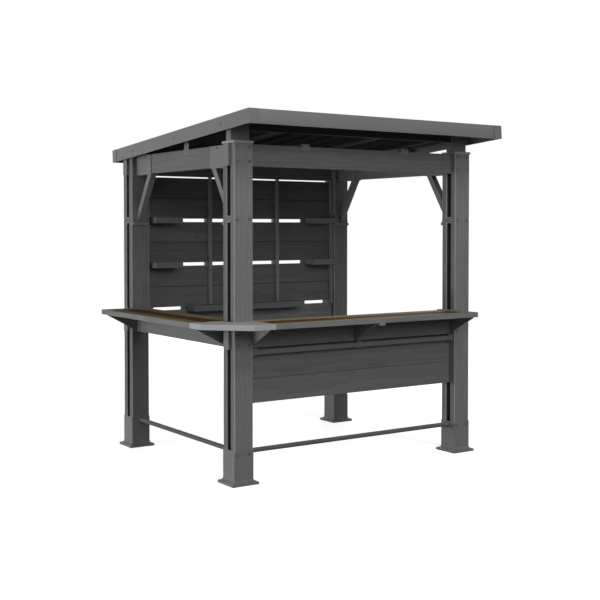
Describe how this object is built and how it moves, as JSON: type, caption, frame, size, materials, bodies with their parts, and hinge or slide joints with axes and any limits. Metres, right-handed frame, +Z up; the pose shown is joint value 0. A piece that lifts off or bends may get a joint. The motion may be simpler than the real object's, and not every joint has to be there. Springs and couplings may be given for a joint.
{
  "type": "bar gazebo",
  "caption": "Garden bar gazebo: slotted square posts on steel feet carry a lean-to metal roof over an L-shaped bar counter with foot rails and a boarded back wall with shelves",
  "frame": {"origin": "on the ground, in the middle of the plan outline of the whole gazebo", "axes": "+X along the front from the corner post to the right, +Y from the front to the boarded back wall, +Z up"},
  "size_m": [2.357, 2.017, 2.4229],
  "materials": {
    "stained_wood": "matt",
    "dark_wood": "matt",
    "counter_planks": "satin",
    "edge_boards": "matt",
    "corner_plate": "satin",
    "roof_sheet": "satin",
    "steel": "satin"
  },
  "bodies": {
    "root": {"post_front_left": "stained_wood", "post_front_right": "stained_wood", "post_back_left": "stained_wood", "post_back_right": "stained_wood", "base_front_left": "steel", "base_front_right": "steel", "base_back_left": "steel", "base_back_right": "steel", "beam_front": "stained_wood", "beam_back": "stained_wood", "beam_left": "stained_wood", "beam_right": "stained_wood", "end_covers": "steel", "rail_front": "stained_wood", "rail_back": "stained_wood", "rail_left": "steel", "bracket_front_left": "steel", "bracket_front_right": "steel", "bracket_back_left": "steel", "bracket_back_right": "steel", "planks_left": "counter_planks", "planks_front": "counter_planks", "edge_left": "edge_boards", "edge_front": "edge_boards", "corner_plate": "corner_plate", "gussets_left": "steel", "gussets_front": "steel", "front_panel": "stained_wood", "front_ledge": "counter_planks", "ledge_edge": "steel", "wall_boards": "dark_wood", "wall_battens": "steel", "small_shelves": "steel", "long_shelf": "steel", "foot_rail_left": "steel", "foot_rail_front": "steel", "post_caps": "steel", "roof_rafters": "steel", "roof_cross_tubes": "steel", "roof_sheet": "roof_sheet", "fascia_front": "steel", "fascia_back": "steel", "fascia_left": "steel", "fascia_right": "steel", "roof_ties": "steel"}
  },
  "joints": []
}
